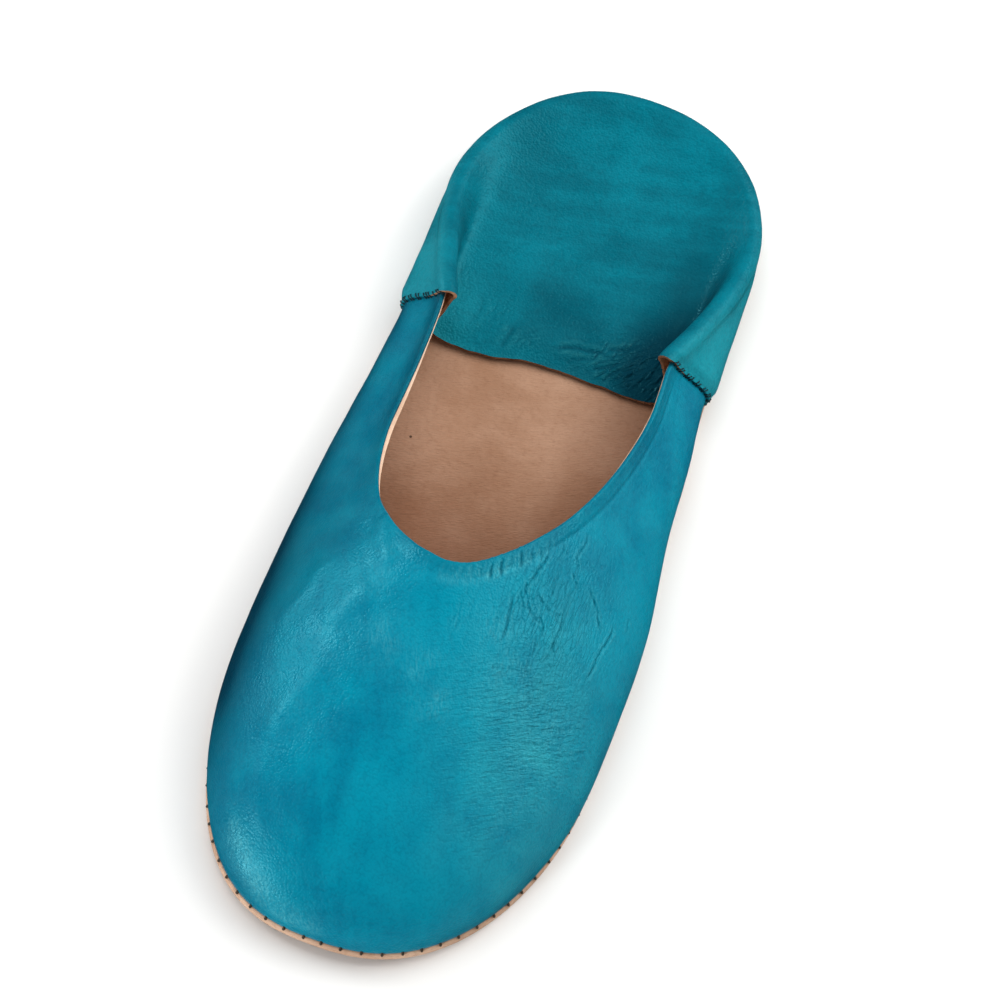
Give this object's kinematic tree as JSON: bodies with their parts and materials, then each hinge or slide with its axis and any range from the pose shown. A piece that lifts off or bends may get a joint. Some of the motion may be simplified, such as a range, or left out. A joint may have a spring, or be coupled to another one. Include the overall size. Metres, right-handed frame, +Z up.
{
  "type": "babouche slipper",
  "caption": "Flat backless-style leather slipper with a low open throat and its heel folded down inside on a thin leather sole.",
  "frame": {"origin": "middle of the slipper's footprint, on the floor under the sole", "axes": "+Z up, the toe points to -Y, the heel to +Y, and +X is the outer side of the left foot"},
  "size_m": [0.0992, 0.2606, 0.048],
  "materials": {
    "sole_leather": "tan vegetable-tanned sole leather, matt, with a cut edge and stitches round the toe",
    "insole_leather": "smooth tan sheepskin with a fine grain, soft satin",
    "upper_leather": "hand-dyed turquoise leather with a fine grain, creases and a soft satin sheen, tan lining",
    "heel_leather": "the same turquoise leather, folded and trodden flat, slightly darker and mottled"
  },
  "bodies": {
    "root": {"outsole": "sole_leather", "insole": "insole_leather", "upper_vamp": "upper_leather", "upper_heel": "heel_leather"}
  },
  "joints": []
}
